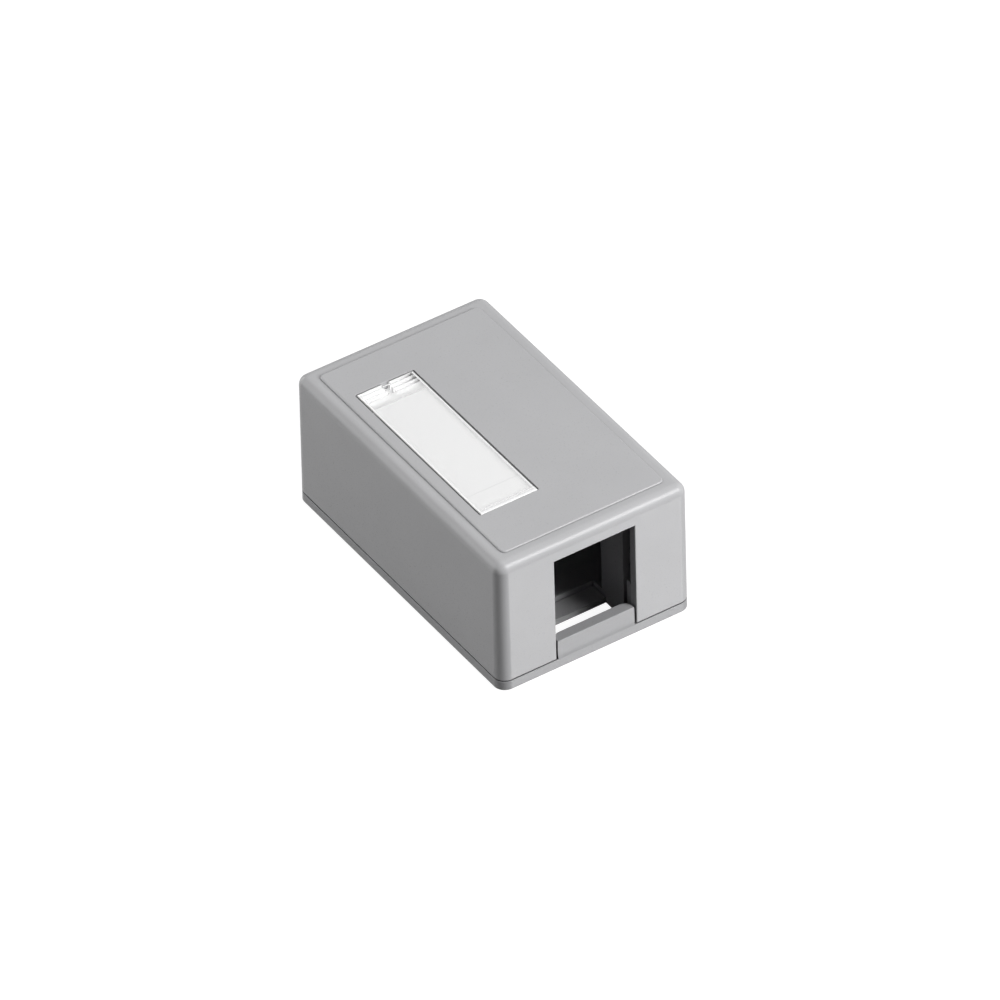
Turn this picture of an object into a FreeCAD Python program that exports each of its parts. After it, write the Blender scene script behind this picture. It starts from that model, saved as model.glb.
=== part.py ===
import FreeCAD, Part
import math
import os

# Surface mount jack box: a clip-on cover over a flat base, with a clear lens and a paper label
# let into the top, and one square jack port in the front.
# Millimetres. The origin is the middle of the underside, X runs across, the port faces -Y, Z is up.
# Places along the box are measured back from the foot of the front face.

# Outside of the box
width = 35.3
length = 57.2
draft_deg = 0.38
edge_radius = 1.7
corner_extra = 0.1

# Raised panel on top
panel_step = 0.28
panel_side_inset = 2.6
panel_end_inset = 2.75
panel_corner = 0.9
panel_edge = 0.26

# Joint line between the base and the cover
rim_height = 1.65
joint_gap = 0.25
joint_depth = 0.8
rim_edge = 0.06
foot_edge = 0.1

# Cover walls
wall = 1.45
top_thickness = 1.6
cover_fit = 0.2
port_edge = 0.15

# Jack port
port_width = 14.8
port_height = 16.2
port_headroom = 3.6
ledge_height = 5.1
ledge_depth = 2.1
ledge_gap = 0.33
ledge_corner = 1.5
ledge_edge = 0.15
ledge_recess = 0.12
ledge_blend = 1.2

# Jack bay on the base
floor_thickness = 1.1
floor_hole_end = 8.5
bay_wall_start = 3.55
bay_wall_end = 9.6
bay_wall = 1.2
bay_headroom = 0.3
gusset_reach = 2.4
gusset_height = 11.0
gusset_thickness = 1.2
curb_end = 12.0
curb_width = 0.4
curb_height = 1.0

# Lip and fingers that locate the cover
lip_thickness = 1.1
lip_height = 3.2
finger_height = 8.8
finger_length = 4.0
finger_clear = 0.1
bead_height = 7.0
bead_radius = 0.3
bead_end_gap = 1.0
track_clear = 0.15
side_finger_front = 16.0
side_finger_rear = 42.0
rear_finger_offset = 8.5

# Thinned cable breakouts inside the cover
breakout_width = 9.0
breakout_top = 10.5
breakout_skin = 0.6
side_breakout_place = 29.0

# Screw slots and cable tie bridge in the base
slot_spacing = 25.4
slot_width = 4.3
slot_length = 6.8
slot_boss = 1.2
slot_boss_height = 1.1
tie_span = 7.0
tie_post = 1.4
tie_bar_depth = 2.4
tie_gap = 2.2
tie_bar = 1.3

# Label window, lens and label
window_margin = 2.05
window_front = 12.2
window_width = 10.85
window_length = 34.9
window_corner = 0.3
window_edge = 0.1
pocket_depth = 1.75
bed_depth = 0.85
foot_room = 1.3
tray_floor = 1.35
tray_wall = 1.3
lens_clear = 0.15
lens_front_clear = 0.03
lens_plate = 0.55
lens_edge = 0.22
lens_foot = 0.9
lens_foot_drop = 0.45
lens_foot_swing = 0.3
hook_width = 1.6
hook_reach = 0.6
hook_thickness = 0.35
hook_drop = 0.6
hook_inset = 1.5
hook_clear = 0.18
rib_thickness = 0.6
rib_pitch = 0.98
rib_count = 3
nail_width = 1.2
nail_depth = 0.45
label_clear = 0.2
label_thickness = 0.15
label_bow = 0.06
label_crease = 2.75
label_fold = 1.5

# Worked out from the sizes above
height = ledge_height + port_height + port_headroom
front = -length / 2
rear = length / 2
draft = math.radians(draft_deg)
lean = math.tan(draft)
shoulder = height - panel_step
corner_radius = edge_radius + corner_extra + lean * shoulder
ceiling = shoulder - top_thickness
cover_foot = rim_height + joint_gap
port_half = port_width / 2
port_top = ledge_height + port_height
lip_inset = wall + cover_fit
curb_rear = front + curb_end + curb_width
slot_middle = (curb_rear + rear - lip_inset - lip_thickness) / 2
overlap = 0.5
full_round = 0.999
close = 0.001
window_left = -(width / 2 - lean * height) + panel_side_inset + window_margin
window_right = window_left + window_width
window_near = front + window_front
window_far = window_near + window_length
window_middle = (window_left + window_right) / 2
pocket_floor = height - pocket_depth
bed_top = height - bed_depth
lens_underside = height - lens_plate
lens_near = window_near + lens_front_clear
lens_far = window_far - lens_clear
bed_near = lens_near + lens_foot + lens_foot_swing
label_rest = lens_far - (rib_count - 1) * rib_pitch - rib_thickness - label_clear
bed_far = label_rest - label_fold - label_clear
bay_top = pocket_floor - tray_floor - bay_headroom


def vec(x, y, z):
    return FreeCAD.Vector(x, y, z)


def box(x0, x1, y0, y1, z0, z1):
    return Part.makeBox(x1 - x0, y1 - y0, z1 - z0, vec(x0, y0, z0))


def rounded_wire(x0, x1, y0, y1, radius, z):
    """Rectangle with four round corners, lying flat at height z."""
    slant = radius * (1 - math.sqrt(0.5))
    edges = []
    corners = [(x1, y0, -1, 1), (x1, y1, -1, -1), (x0, y1, 1, -1), (x0, y0, 1, 1)]
    ends = []
    for index, (x, y, in_x, in_y) in enumerate(corners):
        beside = vec(x + in_x * radius, y, z)
        along = vec(x, y + in_y * radius, z)
        middle = vec(x + in_x * slant, y + in_y * slant, z)
        first, last = (beside, along) if index % 2 == 0 else (along, beside)
        ends.append((first, last))
        edges.append(Part.Arc(first, middle, last).toShape())
    sides = []
    for index in range(4):
        start = ends[index][1]
        stop = ends[(index + 1) % 4][0]
        sides.append(Part.LineSegment(start, stop).toShape())
    ordered = []
    for index in range(4):
        ordered.append(edges[index])
        ordered.append(sides[index])
    return Part.Wire(ordered)


def rounded_block(x0, x1, y0, y1, radius, z0, z1):
    face = Part.Face(rounded_wire(x0, x1, y0, y1, radius, z0))
    return face.extrude(vec(0, 0, z1 - z0))


def side_outline(inset, z, smallest_corner=0.3):
    """The box's four leaning sides at height z, moved inwards by inset."""
    half_x = width / 2 - inset - lean * z
    half_y = length / 2 - inset - lean * z
    radius = max(corner_radius - inset - lean * z, smallest_corner)
    return rounded_wire(-half_x, half_x, -half_y, half_y, radius, z)


def side_block(inset, z0, z1):
    """Solid between two heights, with the box's leaning sides moved inwards by inset."""
    return Part.makeLoft([side_outline(inset, z0), side_outline(inset, z1)], True, True)


def edge_arc(level, radius, way):
    """Three points of the arc between the level face at a height and the leaning side, both tangent to it.
    Way is 1 for a top edge and -1 for a foot. X is measured out from the corner's centre line."""
    z = level - way * radius
    x = corner_radius - lean * z - radius / math.cos(draft)
    upright = way * math.pi / 2
    return [vec(x + radius * math.cos(angle), 0, z + radius * math.sin(angle))
            for angle in (upright, (upright + draft) / 2, draft)]


def side_section(z0, z1, foot_round, top_round):
    """Upright face from a corner's centre line out to the leaning side, with a rounded foot and top edge."""
    foot = edge_arc(z0, foot_round, -1)
    top = edge_arc(z1, top_round, 1)
    low = vec(0, 0, z0)
    high = vec(0, 0, z1)
    edges = [Part.LineSegment(low, foot[0]).toShape(),
             Part.Arc(*foot).toShape(),
             Part.LineSegment(foot[2], top[2]).toShape(),
             Part.Arc(top[2], top[1], top[0]).toShape(),
             Part.LineSegment(top[0], high).toShape(),
             Part.LineSegment(high, low).toShape()]
    return Part.Face(Part.Wire(edges))


def outer_block(z0, z1, foot_round, top_round):
    """Solid with the box's four leaning sides: the section runs along each side and turns round each corner."""
    section = side_section(z0, z1, foot_round, top_round)
    half_x = width / 2 - corner_radius
    half_y = length / 2 - corner_radius
    up = vec(0, 0, 1)
    pieces = [box(-half_x, half_x, -half_y, half_y, z0, z1)]
    starts = [(half_x, -half_y, half_y), (half_x, half_y, half_x), (-half_x, half_y, half_y), (-half_x, -half_y, half_x)]
    for quarter, (x, y, half_run) in enumerate(starts):
        centre = vec(x, y, 0)
        placed = section.copy()
        placed.rotate(vec(0, 0, 0), up, 90 * quarter)
        placed.translate(centre)
        angle = math.pi / 2 * (quarter + 1)
        pieces.append(placed.extrude(vec(math.cos(angle), math.sin(angle), 0) * (2 * half_run)))
        pieces.append(placed.revolve(centre, up, -90))
    return pieces[0].fuse(pieces[1:]).removeSplitter()


def edges_at_height(solid, z):
    level = []
    for edge in solid.Edges:
        bounds = edge.BoundBox
        if abs(bounds.ZMin - z) < close and abs(bounds.ZMax - z) < close:
            level.append(edge)
    return level


def slot_block(x, y, half_width, half_length, z0, z1):
    """Round-ended slot that runs front to rear."""
    return rounded_block(x - half_width, x + half_width, y - half_length, y + half_length,
                         half_width * full_round, z0, z1)


def finger_places():
    """Middle and outward direction of each locating finger."""
    places = []
    front_x = port_half + finger_clear + finger_length / 2
    for side in (-1, 1):
        places.append((side * front_x, front + lip_inset, 0, -1))
        places.append((side * rear_finger_offset, rear - lip_inset, 0, 1))
        for along in (side_finger_front, side_finger_rear):
            places.append((side * (width / 2 - lip_inset), front + along, side, 0))
    return places


def along_wall(place, half_span, deep_in, deep_out, z0, z1):
    """Box against a wall: half_span each way along it, from deep_in inside to deep_out outside."""
    x, y, out_x, out_y = place
    if out_x:
        near, far = sorted((x - out_x * deep_in, x + out_x * deep_out))
        return box(near, far, y - half_span, y + half_span, z0, z1)
    near, far = sorted((y - out_y * deep_in, y + out_y * deep_out))
    return box(x - half_span, x + half_span, near, far, z0, z1)


def finger(place):
    """Upright finger with a rounded tip and a small bead on the side that meets the cover."""
    x, y, out_x, out_y = place
    tip = lip_thickness / 2
    solid = along_wall(place, finger_length / 2, lip_thickness, 0, rim_height - overlap, finger_height - tip)
    direction = vec(abs(out_y), abs(out_x), 0)
    centre = vec(x - out_x * tip, y - out_y * tip, finger_height - tip)
    start = centre - direction * (finger_length / 2)
    solid = solid.fuse(Part.makeCylinder(tip, finger_length, start, direction))
    bead_length = finger_length - 2 * bead_end_gap
    start = vec(x, y, bead_height) - direction * (bead_length / 2)
    return solid.fuse(Part.makeCylinder(bead_radius, bead_length, start, direction))


def track(place):
    """Guide groove inside the cover for a finger's bead, open at the cover's foot."""
    half_span = finger_length / 2 - bead_end_gap + track_clear
    depth = bead_radius + track_clear
    top = bead_height + bead_radius + track_clear
    return along_wall(place, half_span, overlap, depth, cover_foot - overlap, top)


def ledge_section(x):
    """Upright face of the tab: its front stands back a little and sweeps out to the base's edge at its foot."""
    low = rim_height - overlap
    bend = rim_height + ledge_blend
    back = front + ledge_depth
    sweep_radius = (ledge_blend ** 2 + ledge_recess ** 2) / (2 * ledge_recess)
    half_way = math.asin(ledge_blend / sweep_radius) / 2

    def on_face(z, inset):
        return vec(x, front + lean * z + inset, z)

    foot = on_face(rim_height, 0)
    root = on_face(bend, ledge_recess)
    middle = root + vec(0, sweep_radius * (math.cos(half_way) - 1), -sweep_radius * math.sin(half_way))
    tip = on_face(ledge_height, ledge_recess)
    edges = [Part.Arc(foot, middle, root).toShape(),
             Part.makePolygon([root, tip, vec(x, back, ledge_height), vec(x, back, low), on_face(low, 0), foot])]
    return Part.Face(Part.Wire(edges))


def make_ledge():
    """Tab in front of the jack, with rounded rear corners."""
    half = port_half - ledge_gap
    low = rim_height - overlap
    back = front + ledge_depth
    plan = rounded_block(-half, half, front - ledge_corner, back, ledge_corner * full_round, low, ledge_height)
    solid = plan.common(ledge_section(-half).extrude(vec(2 * half, 0, 0)))
    top = [edge for edge in edges_at_height(solid, ledge_height) if edge.BoundBox.YMax < back - ledge_corner / 2]
    return solid.makeFillet(ledge_edge, top)


def make_bay():
    """Two side walls with a gusset each, and a low curb round the rear of the jack."""
    pieces = []
    for side in (-1, 1):
        inner = side * port_half
        outer = side * (port_half + bay_wall)
        near, far = sorted((inner, outer))
        pieces.append(box(near, far, front + bay_wall_start, front + bay_wall_end, 0, bay_top))
        tip = outer + side * gusset_reach
        place = front + (bay_wall_start + bay_wall_end - gusset_thickness) / 2
        low = floor_thickness - overlap
        root = outer - side * bay_wall / 2
        profile = Part.makePolygon([vec(root, place, low), vec(tip, place, low),
                                    vec(outer, place, gusset_height), vec(root, place, gusset_height),
                                    vec(root, place, low)])
        pieces.append(Part.Face(profile).extrude(vec(0, gusset_thickness, 0)))
        near, far = sorted((inner, inner + side * curb_width))
        pieces.append(box(near, far, front + bay_wall_end - overlap, curb_rear,
                          floor_thickness - overlap, floor_thickness + curb_height))
    pieces.append(box(-port_half, port_half, front + curb_end, curb_rear,
                      floor_thickness - overlap, floor_thickness + curb_height))
    return pieces


def make_tie_bridge():
    """Low bridge between the screw slots that a cable tie passes under."""
    near = slot_middle - tie_bar_depth / 2
    far = slot_middle + tie_bar_depth / 2
    top = floor_thickness + tie_gap + tie_bar
    half = tie_span / 2
    pieces = [box(-half - tie_post, half + tie_post, near, far, floor_thickness + tie_gap, top)]
    for side in (-1, 1):
        low, high = sorted((side * half, side * (half + tie_post)))
        pieces.append(box(low, high, near, far, floor_thickness - overlap, top))
    return pieces


def make_base():
    rim = outer_block(0, rim_height, foot_edge, rim_edge)
    seat = side_block(joint_depth, rim_height - overlap, cover_foot)
    lip = side_block(lip_inset, rim_height - overlap, lip_height)
    well = side_block(lip_inset + lip_thickness, floor_thickness, lip_height + overlap)
    solid = rim.fuse([seat, lip]).cut(well)
    hole = box(-port_half, port_half, front + ledge_depth, front + floor_hole_end, -overlap, lip_height + overlap)
    over_ledge = box(-port_half, port_half, front + joint_depth, front + ledge_depth,
                     rim_height, lip_height + overlap)
    solid = solid.cut([hole, over_ledge])
    solid = solid.fuse([make_ledge()] + make_bay() + make_tie_bridge())
    solid = solid.fuse([finger(place) for place in finger_places()])
    boss_top = floor_thickness + slot_boss_height
    places = [slot_middle - slot_spacing / 2, slot_middle + slot_spacing / 2]
    half_width = slot_width / 2
    half_length = slot_length / 2
    bosses = [slot_block(0, y, half_width + slot_boss, half_length + slot_boss,
                         floor_thickness - overlap, boss_top) for y in places]
    slots = [slot_block(0, y, half_width, half_length, -overlap, boss_top + overlap) for y in places]
    return solid.fuse(bosses).cut(slots).removeSplitter()


def make_tray():
    """Block under the cover's top that holds the label pocket."""
    return box(window_left - tray_wall, window_right + tray_wall, window_near - tray_wall, window_far + tray_wall,
               pocket_floor - tray_floor, ceiling + overlap)


def hook_places():
    return (window_left + lens_clear + hook_inset, window_right - lens_clear - hook_inset - hook_width)


def make_pocket():
    """The label pocket: a bed for the label, deeper ends for the lens's foot and ribs, and two sockets in its
    front wall for the lens's hooks."""
    room = rounded_block(window_left, window_right, window_near, window_far, window_corner,
                         pocket_floor, height + overlap)
    foot_floor = height - foot_room
    step = box(window_left - overlap, window_right + overlap, window_near - overlap, bed_far,
               pocket_floor - overlap, foot_floor)
    bed = box(window_left - overlap, window_right + overlap, bed_near, bed_far, pocket_floor, bed_top)
    pieces = [room.cut([step, bed])]
    top = height - hook_drop + hook_clear
    for x in hook_places():
        pieces.append(box(x - hook_clear, x + hook_width + hook_clear,
                          lens_near - hook_reach - hook_clear, window_near + overlap, foot_floor, top))
    return pieces


def make_breakouts():
    """Thinned places in the rear and side walls that are pushed out to let a cable in."""
    places = [(0, rear - wall, 0, 1)]
    for side in (-1, 1):
        places.append((side * (width / 2 - wall), front + side_breakout_place, side, 0))
    depth = wall - breakout_skin - lean * breakout_top
    return [along_wall(place, breakout_width / 2, overlap, depth, cover_foot - overlap, breakout_top)
            for place in places]


def port_rim(solid):
    """The three outer edges of the port in the front face."""
    found = []
    for edge in solid.Edges:
        bounds = edge.BoundBox
        on_front = bounds.YMax < front + lean * port_top + close
        upright = bounds.XLength < close and abs(abs(bounds.XMin) - port_half) < close
        across = bounds.ZLength < close and abs(bounds.ZMin - port_top) < close
        if on_front and (upright or across) and bounds.DiagonalLength > port_height / 2:
            found.append(edge)
    return found


def window_rim(solid):
    """Edges where the label pocket meets the raised panel."""
    found = []
    for edge in edges_at_height(solid, height):
        bounds = edge.BoundBox
        inside_x = bounds.XMin > window_left - close and bounds.XMax < window_right + close
        inside_y = bounds.YMin > window_near - close and bounds.YMax < window_far + close
        if inside_x and inside_y:
            found.append(edge)
    return found


def make_cover():
    outside = outer_block(cover_foot, shoulder, rim_edge, edge_radius)
    half_x = width / 2 - lean * height - panel_side_inset
    half_y = length / 2 - lean * height - panel_end_inset
    panel = rounded_block(-half_x, half_x, -half_y, half_y, panel_corner, shoulder - overlap, height)
    panel = panel.makeFillet(panel_edge, edges_at_height(panel, height))
    cavity = side_block(wall, cover_foot - overlap, ceiling)
    solid = outside.fuse(panel).cut(cavity).fuse(make_tray())
    port = box(-port_half, port_half, front - overlap, front + lip_inset + overlap, cover_foot - overlap, port_top)
    solid = solid.cut([port] + make_pocket() + make_breakouts())
    solid = solid.cut([track(place) for place in finger_places()]).removeSplitter()
    solid = solid.makeFillet(port_edge, port_rim(solid))
    return solid.makeFillet(window_edge, window_rim(solid))


def make_lens():
    """Clear plate with a foot and hooks at its front, ribs under its rear end and a fingernail notch."""
    left = window_left + lens_clear
    right = window_right - lens_clear
    corner = window_corner - lens_clear
    plate = rounded_block(left, right, lens_near, lens_far, corner, lens_underside, height)
    nail_half = nail_width / 2
    nail = box(window_middle - nail_half, window_middle + nail_half,
               lens_far - nail_depth, lens_far + overlap, lens_underside - overlap, height + overlap)
    plate = plate.cut(nail)
    plate = plate.makeFillet(lens_edge, edges_at_height(plate, height))
    pieces = [box(left + corner, right - corner, lens_near, lens_near + lens_foot,
                  lens_underside - lens_foot_drop, lens_underside + overlap / 2)]
    hook_top = height - hook_drop
    for x in hook_places():
        pieces.append(box(x, x + hook_width, lens_near - hook_reach, lens_near + lens_foot / 2,
                          hook_top - hook_thickness, hook_top))
    rib_foot = pocket_floor + label_thickness
    for index in range(rib_count):
        far = lens_far - index * rib_pitch
        for start, stop in ((left + corner, window_middle - nail_half), (window_middle + nail_half, right - corner)):
            pieces.append(box(start, stop, far - rib_thickness, far, rib_foot, lens_underside + overlap / 2))
    return plate.fuse(pieces).removeSplitter()


def make_label():
    """Paper strip that lies on the bed, a little bowed up, and folds down at its rear to lie under the ribs."""
    left = window_left + label_clear
    right = window_right - label_clear
    bowed = bed_top + label_bow
    outline = [(bed_near, bed_top), (window_near + label_crease, bowed),
               (label_rest - label_fold, bowed), (label_rest, pocket_floor),
               (window_far - label_clear, pocket_floor)]
    under = [vec(left, y, z) for y, z in outline]
    over = [vec(left, y, z + label_thickness) for y, z in reversed(outline)]
    return Part.Face(Part.makePolygon(under + over + under[:1])).extrude(vec(right - left, 0, 0))


os.makedirs("parts", exist_ok=True)
nodes = {"base": make_base, "cover": make_cover, "label_lens": make_lens, "label_insert": make_label}
for name, make in nodes.items():
    shape = make()
    if len(shape.Solids) != 1 or not shape.isValid():
        raise ValueError(name + " isn't one valid solid")
    shape.Solids[0].exportStep(os.path.join("parts", name + ".step"))
    bounds = shape.BoundBox
    print(f"{name}: volume {shape.Volume:.1f} mm3,"
          f" x {bounds.XMin:.2f} to {bounds.XMax:.2f}, y {bounds.YMin:.2f} to {bounds.YMax:.2f},"
          f" z {bounds.ZMin:.2f} to {bounds.ZMax:.2f}")
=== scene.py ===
import math
import bpy
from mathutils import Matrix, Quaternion, Vector


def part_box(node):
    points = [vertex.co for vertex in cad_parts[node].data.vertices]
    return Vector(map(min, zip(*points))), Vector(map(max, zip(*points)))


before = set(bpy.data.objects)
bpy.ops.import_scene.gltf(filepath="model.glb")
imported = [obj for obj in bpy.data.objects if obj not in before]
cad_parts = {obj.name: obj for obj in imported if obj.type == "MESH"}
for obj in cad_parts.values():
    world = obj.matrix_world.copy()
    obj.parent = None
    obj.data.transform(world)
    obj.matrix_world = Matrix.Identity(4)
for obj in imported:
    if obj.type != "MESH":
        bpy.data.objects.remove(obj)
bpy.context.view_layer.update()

# Surface mount jack box in grey moulded plastic, with a clear lens over a white paper label in its top.
# Lengths are in metres and angles in degrees. X runs across, the port faces -Y and Z is up.
# A name that stands for a pair of values gives the two ends of a range.

# Camera, worked out from the straight edges of the box in the photograph
LENS_MM = 432.0
SENSOR_MM = 36.0
CAMERA_AZIMUTH = -32.764
CAMERA_ELEVATION = 40.262
CAMERA_ROLL = -1.458
CAMERA_DISTANCE = 1.84894
CAMERA_TARGET = Vector((0.000005, -0.002184, 0.011856))
CAMERA_NEAR = 0.01
CAMERA_FAR = 50.0

# Studio. The floor shows white, keeps a faint shadow, and has a soft sheen that gives some of the lamps back.
SOFTBOX_DISTANCE = 1.0
AMBIENT = 0.005
BACKDROP = 1.0
FLOOR_SIZE = 8.0
FLOOR_DROP = 0.00005
FLOOR_BOUNCE = 0.1
FLOOR_SHEEN = 0.5
FLOOR_ROUGHNESS = 0.12
FLOOR_SHOWN_GLOW = 0.93
FLOOR_SHOWN_SHADE = 0.2

# Grey plastic. A broad cloud shifts its tone a little, a fine grain changes its roughness and surface, and
# narrow gaps get painted shade.
COVER_GREY = (0.45, 0.45, 0.46)
# The base's grey is set darker than the cover's, which paints shade onto the lower part of the box.
BASE_GREY = (0.345, 0.345, 0.355)
CLOUD = {"Scale": 90.0, "Detail": 3.0, "Roughness": 0.6}
CLOUD_RANGE = (0.3, 0.7)
CLOUD_TONE = (0.975, 1.02)
GRAIN = {"Scale": 5200.0, "Detail": 2.0, "Roughness": 0.5}
GRAIN_BUMP = {"Strength": 0.12, "Distance": 0.00002}
PLASTIC_ROUGHNESS = (0.24, 0.34)
PLASTIC_IOR = 1.5
CREVICE_REACH = 0.0005
CREVICE_SAMPLES = 8
CREVICE_OPENNESS = (0.3, 0.9)
PAINTED_CREVICE_SHADE = 0.3

# Lens. It is clear over the label, with painted white highlights at its foot, over the label's fold, on its
# ribs and in a line inside each long side. The long sides themselves carry painted shade. Its hooks reach
# further forward than its plate.
LENS_TINT = 0.985
LENS_ROUGHNESS = 0.03
LENS_IOR = 1.49
LENS_WAVES = {"Scale": 450.0, "Detail": 2.0}
LENS_BUMP = {"Strength": 0.05, "Distance": 0.00005}
HOOK_REACH = 0.0006
HIGHLIGHT_WHITE = 0.97
HIGHLIGHT_ROUGHNESS = 0.25
SIDE_HIGHLIGHT = 0.9
SIDE_HIGHLIGHT_INSET = 0.00034
SIDE_HIGHLIGHT_HALF = 0.00018
SIDE_SHADE = 0.65
SIDE_SHADE_GREY = 0.1
SIDE_SHADE_START = 0.00018
SIDE_SHADE_FULL = 0.0001
RIB_HIGHLIGHT = 0.9
RIB_HIGHLIGHT_WIDTH = 0.0002
RIB_HIGHLIGHT_SAMPLES = 6
RIB_HIGHLIGHT_UPRIGHT = (0.995, 0.93)
RIB_ZONE = 0.00452

# Painted highlights across the lens, as lists of distance and amount. The foot's is measured back from the
# front edge of the plate, and the fold's forward from its rear edge.
FOOT_HIGHLIGHT = [(0.0, 0.95), (0.0004, 0.95), (0.0006, 0.65), (0.0009, 0.65), (0.001, 0.0)]
FOLD_HIGHLIGHT = [(RIB_ZONE, 0.0), (0.00432, 0.4), (0.00282, 0.3), (0.00262, 0.0)]

# Paper label, with painted shade along a crease line that is measured back from its front end
PAPER_WHITE = (0.84, 0.91)
PAPER_ROUGHNESS = 0.8
FIBRE = {"Scale": 2500.0, "Detail": 6.0, "Roughness": 0.7}
FIBRE_BUMP = {"Strength": 0.1, "Distance": 0.00002}
CREASE_PLACE = 0.00377
CREASE_HALF = 0.00018
CREASE_SHADE = 0.1


def direction(azimuth, elevation):
    """Unit vector from the box towards a place in the studio. Azimuth 0 is in front and 90 to the right."""
    a = math.radians(azimuth)
    e = math.radians(elevation)
    return Vector((math.sin(a) * math.cos(e), -math.cos(a) * math.cos(e), math.sin(e)))


def new_object(name, data):
    thing = bpy.data.objects.new(name, data)
    bpy.context.scene.collection.objects.link(thing)
    return thing


def aim(thing, toward, distance, target=Vector((0, 0, 0)), roll=0.0):
    """Put a camera or lamp at a distance from its target, and turn it to look back at the target."""
    thing.location = target + toward * distance
    thing.rotation_mode = "QUATERNION"
    thing.rotation_quaternion = Quaternion(toward, math.radians(roll)) @ (-toward).to_track_quat("-Z", "Y")


def make_camera():
    data = bpy.data.cameras.new("camera")
    data.lens = LENS_MM
    data.sensor_width = SENSOR_MM
    data.clip_start = CAMERA_NEAR
    data.clip_end = CAMERA_FAR
    camera = new_object("camera", data)
    aim(camera, direction(CAMERA_AZIMUTH, CAMERA_ELEVATION), CAMERA_DISTANCE, CAMERA_TARGET, CAMERA_ROLL)
    bpy.context.scene.camera = camera


def softbox(name, azimuth, elevation, width, height, radiance, mirrored=True):
    """Rectangular lamp that faces the box. A white surface that it fills the view of renders at its radiance.
    One that isn't mirrored lights the plastic without showing in its gloss."""
    light = bpy.data.lights.new(name, "AREA")
    light.shape = "RECTANGLE"
    light.size = width
    light.size_y = height
    light.energy = radiance * math.pi * width * height
    lamp = new_object(name, light)
    aim(lamp, direction(azimuth, elevation), SOFTBOX_DISTANCE)
    lamp.visible_camera = False
    lamp.visible_glossy = mirrored


class Nodes:
    """Shorthand for building the node tree of a material or of the world."""

    def __init__(self, tree):
        self.tree = tree
        tree.nodes.clear()

    def feed(self, socket, value):
        """Link a socket to another node's output, or give it a plain value."""
        if isinstance(value, bpy.types.NodeSocket):
            self.tree.links.new(value, socket)
        else:
            socket.default_value = value

    def add(self, kind, settings=None, **inputs):
        """New node. Its inputs go by name, with _ for a space."""
        node = self.tree.nodes.new(kind)
        for key, value in (settings or {}).items():
            setattr(node, key, value)
        for key, value in inputs.items():
            self.feed(node.inputs[key.replace("_", " ")], value)
        return node

    def out(self, kind, settings=None, **inputs):
        """First output of a new node."""
        return self.add(kind, settings, **inputs).outputs[0]

    def place(self):
        """Place on the object, in its own space."""
        return self.add("ShaderNodeTexCoord").outputs["Object"]

    def noise(self, place, look):
        """Noise between 0 and 1 with the scale, detail and roughness of its look."""
        return self.add("ShaderNodeTexNoise", Vector=place, **look).outputs["Fac"]

    def reckon(self, operation, *values):
        """One step of arithmetic between values."""
        step = self.add("ShaderNodeMath", {"operation": operation})
        for socket, value in zip(step.inputs, values):
            self.feed(socket, value)
        return step.outputs[0]

    def distance(self, value, line):
        """How far a value is from a line, on either side."""
        return self.reckon("ABSOLUTE", self.reckon("SUBTRACT", value, line))

    def largest(self, *values):
        """The greatest of several values."""
        found = values[0]
        for value in values[1:]:
            found = self.reckon("MAXIMUM", found, value)
        return found

    def any_ray(self, *kinds):
        """1 for the kinds of ray that are named, 0 for the others."""
        path = self.add("ShaderNodeLightPath")
        return self.largest(*[path.outputs[kind] for kind in kinds])

    def span(self, value, before, after=(0.0, 1.0)):
        """Value carried over from one range to another, and held at the second one's ends."""
        return self.out("ShaderNodeMapRange", Value=value, From_Min=before[0], From_Max=before[1],
                        To_Min=after[0], To_Max=after[1])

    def ramp(self, value, stops):
        """Colour for a value between 0 and 1, from stops that each give a place and a colour."""
        node = self.add("ShaderNodeValToRGB", Fac=value)
        elements = node.color_ramp.elements
        for count, (place, colour) in enumerate(stops):
            element = elements[count] if count < len(elements) else elements.new(1.0)
            element.position = place
            element.color = colour
        return node.outputs[0]

    def scaled(self, colour, factor):
        """Colour times a factor."""
        node = self.add("ShaderNodeVectorMath", {"operation": "SCALE"}, Scale=factor)
        self.feed(node.inputs[0], colour)
        return node.outputs[0]

    def mixed(self, share, first, second):
        """Two shaders mixed. The share is how much of the second there is."""
        node = self.add("ShaderNodeMixShader", Fac=share)
        self.feed(node.inputs[1], first)
        self.feed(node.inputs[2], second)
        return node.outputs[0]


def grey(level):
    return (level, level, level, 1)


def toned(colour, level):
    return tuple(channel * level for channel in colour) + (1,)


def new_material(name):
    material = bpy.data.materials.new(name)
    material.use_nodes = True
    return material, Nodes(material.node_tree)


def make_world():
    """White backdrop that the camera, gloss and glass see, and that gives the box hardly any light."""
    world = bpy.data.worlds.new("studio")
    world.use_nodes = True
    bpy.context.scene.world = world
    nodes = Nodes(world.node_tree)
    ambient = nodes.out("ShaderNodeBackground", Color=grey(1), Strength=AMBIENT)
    backdrop = nodes.out("ShaderNodeBackground", Color=grey(1), Strength=BACKDROP)
    shown = nodes.any_ray("Is Camera Ray", "Is Transmission Ray", "Is Glossy Ray")
    nodes.add("ShaderNodeOutputWorld", Surface=nodes.mixed(shown, ambient, backdrop))


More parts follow.
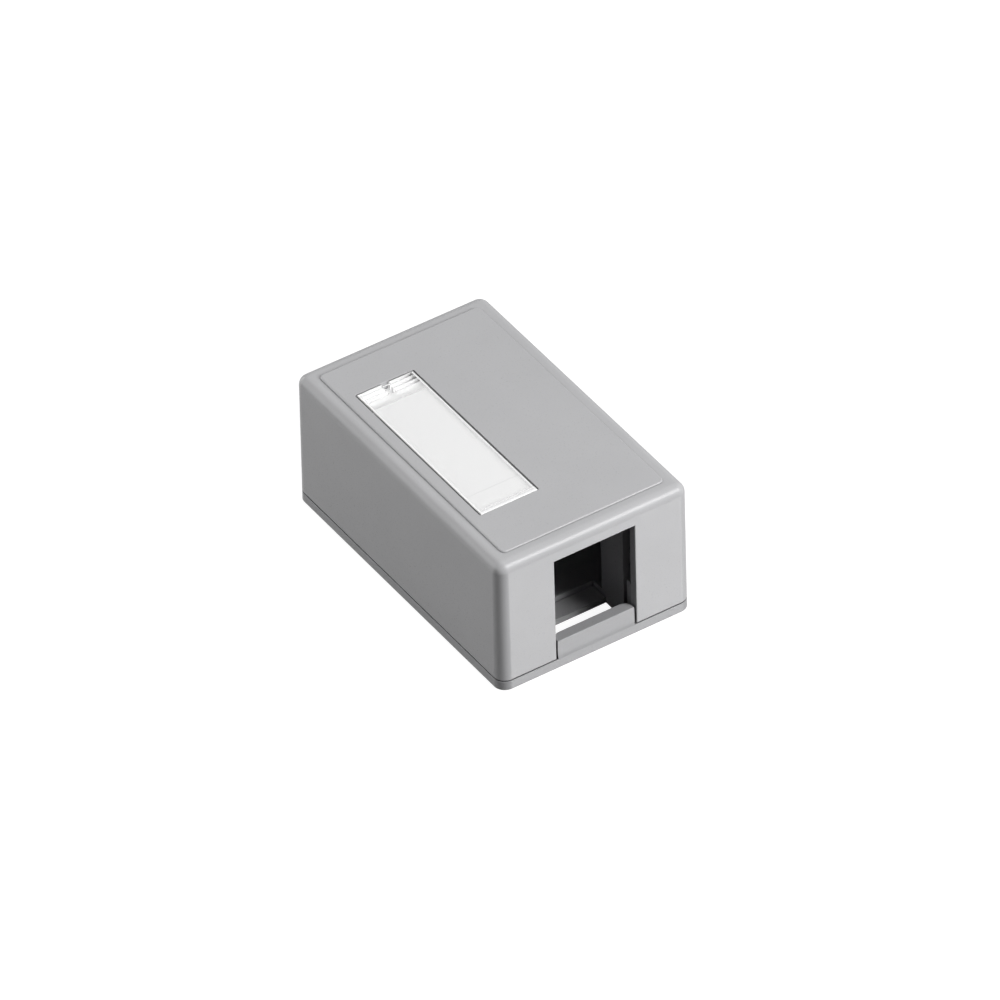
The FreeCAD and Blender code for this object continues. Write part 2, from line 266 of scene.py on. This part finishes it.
def floor_finish():
    """White with a faint shadow for the camera and glass, a soft sheen for gloss, dark for other light."""
    material, nodes = new_material("floor")
    matt = nodes.out("ShaderNodeBsdfDiffuse", Color=grey(FLOOR_BOUNCE))
    sheen = nodes.out("ShaderNodeBsdfGlossy", Roughness=FLOOR_ROUGHNESS, Color=grey(FLOOR_SHEEN))
    bounce = nodes.mixed(nodes.any_ray("Is Glossy Ray"), matt, sheen)
    shade = nodes.out("ShaderNodeBsdfDiffuse", Color=grey(FLOOR_SHOWN_SHADE))
    glow = nodes.out("ShaderNodeEmission", Color=grey(1), Strength=FLOOR_SHOWN_GLOW)
    shown = nodes.add("ShaderNodeAddShader")
    nodes.feed(shown.inputs[0], shade)
    nodes.feed(shown.inputs[1], glow)
    seen = nodes.any_ray("Is Camera Ray", "Is Transmission Ray")
    nodes.add("ShaderNodeOutputMaterial", Surface=nodes.mixed(seen, bounce, shown.outputs[0]))
    return material


def make_floor():
    half = FLOOR_SIZE / 2
    corners = [(-half, -half), (half, -half), (half, half), (-half, half)]
    mesh = bpy.data.meshes.new("floor")
    mesh.from_pydata([(x, y, -FLOOR_DROP) for x, y in corners], [], [(0, 1, 2, 3)])
    mesh.materials.append(floor_finish())
    new_object("floor", mesh)


def moulded_plastic(name, colour):
    """Grey moulded plastic with a fine satin grain."""
    material, nodes = new_material(name)
    place = nodes.place()
    cloud = nodes.noise(place, CLOUD)
    grain = nodes.noise(place, GRAIN)
    tone = nodes.ramp(cloud, [(at, toned(colour, level)) for at, level in zip(CLOUD_RANGE, CLOUD_TONE)])
    # Painted shade: ambient occlusion darkens the colour in narrow gaps, joints and recesses.
    around = nodes.add("ShaderNodeAmbientOcclusion", {"samples": CREVICE_SAMPLES}, Distance=CREVICE_REACH)
    painted_crevice_shade = nodes.span(around.outputs["AO"], CREVICE_OPENNESS, (PAINTED_CREVICE_SHADE, 1.0))
    roughness = nodes.span(grain, (0.0, 1.0), PLASTIC_ROUGHNESS)
    bump = nodes.out("ShaderNodeBump", Height=grain, **GRAIN_BUMP)
    shader = nodes.out("ShaderNodeBsdfPrincipled", Base_Color=nodes.scaled(tone, painted_crevice_shade),
                       Roughness=roughness, IOR=PLASTIC_IOR, Normal=bump)
    nodes.add("ShaderNodeOutputMaterial", Surface=shader)
    return material


def end_highlight(nodes, back, front, rear):
    """Painted white highlight across the lens, at its foot and over the label's fold."""
    length = rear - front
    stops = FOOT_HIGHLIGHT + [(length - distance, painted_highlight) for distance, painted_highlight in FOLD_HIGHLIGHT]
    along = nodes.span(back, (front, rear))
    return nodes.ramp(along, [(distance / length, grey(painted_highlight)) for distance, painted_highlight in stops])


def rib_highlight(nodes, back, rear):
    """Painted white highlight on the ribs and the notch, wherever the rounded normal leans away from straight
    up or down.
    """
    rounded = nodes.out("ShaderNodeBevel", {"samples": RIB_HIGHLIGHT_SAMPLES}, Radius=RIB_HIGHLIGHT_WIDTH)
    to_object = {"vector_type": "NORMAL", "convert_from": "WORLD", "convert_to": "OBJECT"}
    turned = nodes.out("ShaderNodeVectorTransform", to_object, Vector=rounded)
    upright = nodes.reckon("ABSOLUTE", nodes.add("ShaderNodeSeparateXYZ", Vector=turned).outputs["Z"])
    edges = nodes.span(upright, RIB_HIGHLIGHT_UPRIGHT, (0.0, RIB_HIGHLIGHT))
    return nodes.reckon("MULTIPLY", edges, nodes.reckon("GREATER_THAN", back, rear - RIB_ZONE))


def clear_plastic(name):
    """Clear lens, with painted highlights and painted shade in part. Light for the label passes through it
    instead of casting a shadow.
    """
    low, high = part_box("label_lens")
    front = low.y + HOOK_REACH
    half_width = (high.x - low.x) / 2
    material, nodes = new_material(name)
    place = nodes.place()
    spot = nodes.add("ShaderNodeSeparateXYZ", Vector=place)
    back = spot.outputs["Y"]
    outward = nodes.distance(spot.outputs["X"], (low.x + high.x) / 2)
    from_line = nodes.distance(outward, half_width - SIDE_HIGHLIGHT_INSET)
    side_highlight = nodes.span(from_line, (SIDE_HIGHLIGHT_HALF, SIDE_HIGHLIGHT_HALF / 2), (0.0, SIDE_HIGHLIGHT))
    # Painted highlight: white frosted patches stand in for the bright refraction lines of the clear plastic.
    painted_highlight = nodes.largest(end_highlight(nodes, back, front, high.y), side_highlight, rib_highlight(nodes, back, high.y))
    # Painted shade: a dark band along each long side of the lens stands in for the dark edge lines of clear
    # plastic.
    shade_span = (half_width - SIDE_SHADE_START, half_width - SIDE_SHADE_FULL)
    shade = nodes.span(outward, shade_span, (0.0, SIDE_SHADE))
    bump = nodes.out("ShaderNodeBump", Height=nodes.noise(place, LENS_WAVES), **LENS_BUMP)
    clear = nodes.out("ShaderNodeBsdfPrincipled", Base_Color=grey(LENS_TINT), Roughness=LENS_ROUGHNESS,
                      IOR=LENS_IOR, Transmission_Weight=1.0, Normal=bump)
    highlight_white = nodes.out("ShaderNodeBsdfPrincipled", Base_Color=grey(HIGHLIGHT_WHITE), Roughness=HIGHLIGHT_ROUGHNESS,
                        IOR=LENS_IOR)
    painted_side_dark = nodes.out("ShaderNodeBsdfDiffuse", Color=grey(SIDE_SHADE_GREY))
    body = nodes.mixed(shade, nodes.mixed(painted_highlight, clear, highlight_white), painted_side_dark)
    through = nodes.out("ShaderNodeBsdfTransparent", Color=grey(1))
    passed = nodes.any_ray("Is Shadow Ray", "Is Diffuse Ray")
    nodes.add("ShaderNodeOutputMaterial", Surface=nodes.mixed(passed, body, through))
    return material


def label_paper(name):
    """Smooth white paper with faint fibres and a line of painted shade at a crease near its front."""
    material, nodes = new_material(name)
    place = nodes.place()
    fibre = nodes.noise(place, FIBRE)
    tone = nodes.ramp(fibre, [(at, grey(level)) for at, level in enumerate(PAPER_WHITE)])
    back = nodes.add("ShaderNodeSeparateXYZ", Vector=place).outputs["Y"]
    front_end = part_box("label_insert")[0].y
    from_crease = nodes.distance(back, front_end + CREASE_PLACE)
    # Painted shade: a faint darker line along the crease.
    painted_crease_shade = nodes.span(from_crease, (CREASE_HALF, 0.0), (1.0, 1.0 - CREASE_SHADE))
    bump = nodes.out("ShaderNodeBump", Height=fibre, **FIBRE_BUMP)
    shader = nodes.out("ShaderNodeBsdfPrincipled", Base_Color=nodes.scaled(tone, painted_crease_shade),
                       Roughness=PAPER_ROUGHNESS, Normal=bump)
    nodes.add("ShaderNodeOutputMaterial", Surface=shader)
    return material


def dress(node, material):
    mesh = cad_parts[node].data
    mesh.materials.clear()
    mesh.materials.append(material)


bpy.context.scene.view_settings.view_transform = "Standard"
make_camera()
make_world()
make_floor()
softbox("key", azimuth=35.0, elevation=40.0, width=0.46, height=0.42, radiance=8.4)
softbox("low key", azimuth=33.0, elevation=22.0, width=0.36, height=0.3, radiance=22.0, mirrored=False)
softbox("overhead", azimuth=170.0, elevation=70.0, width=0.8, height=0.8, radiance=1.18)
softbox("fill", azimuth=-142.0, elevation=16.0, width=1.4, height=0.8, radiance=1.95)
softbox("side", azimuth=-90.0, elevation=40.0, width=0.6, height=0.6, radiance=0.7)

dress("base", moulded_plastic("base_plastic", BASE_GREY))
dress("cover", moulded_plastic("cover_plastic", COVER_GREY))
dress("label_lens", clear_plastic("lens_plastic"))
dress("label_insert", label_paper("label_paper"))
